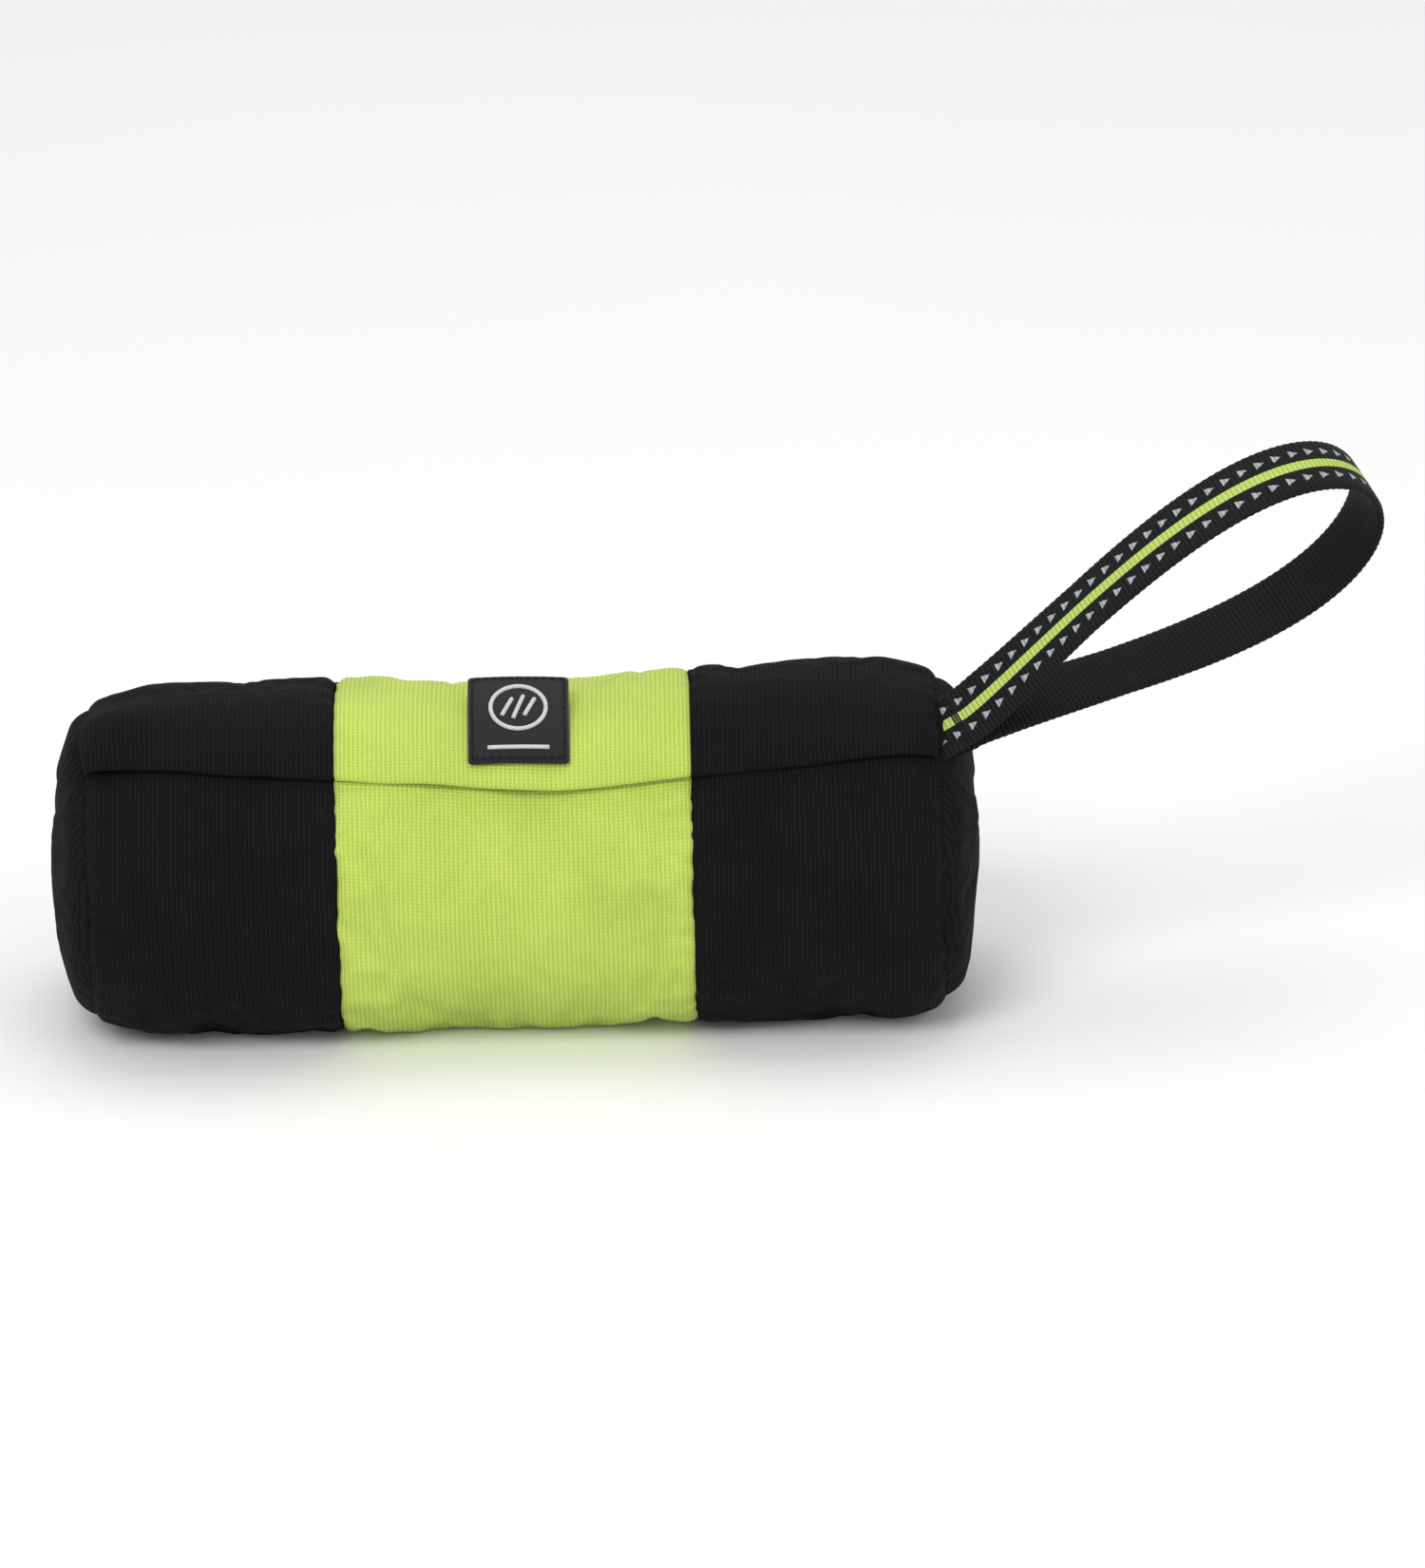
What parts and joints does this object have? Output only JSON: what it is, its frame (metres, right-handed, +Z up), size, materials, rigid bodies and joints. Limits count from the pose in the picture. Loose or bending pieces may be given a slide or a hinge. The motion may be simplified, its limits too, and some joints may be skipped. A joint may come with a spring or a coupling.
{
  "type": "dog training bumper",
  "caption": "Stuffed fabric training bumper with a flap over a lengthwise zip, bulged end panels and a webbing hand loop at one end.",
  "frame": {"origin": "middle of the flat base that the bumper rests on, half way along its length", "axes": "+X along the bumper towards the hand loop, +Z up, and the flap opens at -Y"},
  "size_m": [0.29, 0.07, 0.1257],
  "materials": {
    "black_fabric": "matte woven polyester",
    "lime_fabric": "matte woven polyester",
    "lining_fabric": "matte lining",
    "bag_fabric": "matte non-woven",
    "fibre_fill": "loose fibre",
    "webbing": "ribbed nylon webbing",
    "label": "damask weave",
    "binding_tape": "matte tape",
    "zip_tape": "fine herringbone tape",
    "zip_coil": "satin nylon",
    "zip_metal": "satin black enamel",
    "zip_stop": "satin"
  },
  "bodies": {
    "cover": {"stuffing_core": "fibre_fill", "inner_bag": "bag_fabric", "left_wrap_panel": "black_fabric", "centre_wrap_panel": "lime_fabric", "right_wrap_panel": "black_fabric", "left_end_panel": "black_fabric", "right_end_panel": "black_fabric", "left_seam_binding": "binding_tape", "right_seam_binding": "binding_tape", "zip_tape_upper": "zip_tape", "zip_tape_lower": "zip_tape", "zip_coil_upper": "zip_coil", "zip_coil_lower": "zip_coil", "zip_top_stops": "zip_stop", "zip_bottom_stop": "zip_stop", "strap_root": "webbing"},
    "flap": {"left_flap_panel": "black_fabric", "centre_flap_panel": "lime_fabric", "right_flap_panel": "black_fabric", "flap_lining": "lining_fabric", "woven_label": "label"},
    "slider": {"zip_slider": "zip_metal"},
    "pull": {"zip_pull": "zip_metal"},
    "loop": {"hand_loop": "webbing"}
  },
  "joints": [
    {"name": "flap_lift", "type": "hinge", "parent": "cover", "child": "flap", "pos_m": [0, 0, 0.0732], "axis": [-1, 0, 0], "range_deg": [0, 120], "deforming": ["left_flap_panel", "centre_flap_panel", "right_flap_panel", "flap_lining", "woven_label"]},
    {"name": "slider_travel", "type": "slide", "parent": "cover", "child": "slider", "axis": [1, 0, 0], "range_m": [-0.1452, 0]},
    {"name": "pull_swing", "type": "hinge", "parent": "slider", "child": "pull", "pos_m": [0.0726, -0.01167, 0.06839], "axis": [0, 0.9336, 0.3584], "range_deg": [0, 120]},
    {"name": "loop_flex", "type": "hinge", "parent": "cover", "child": "loop", "pos_m": [0.098, -0.01018, 0.06791], "axis": [-0.3968, 0.7986, 0.4525], "range_deg": [-20, 30], "stiffness_Nm_per_rad": 0.12}
  ]
}
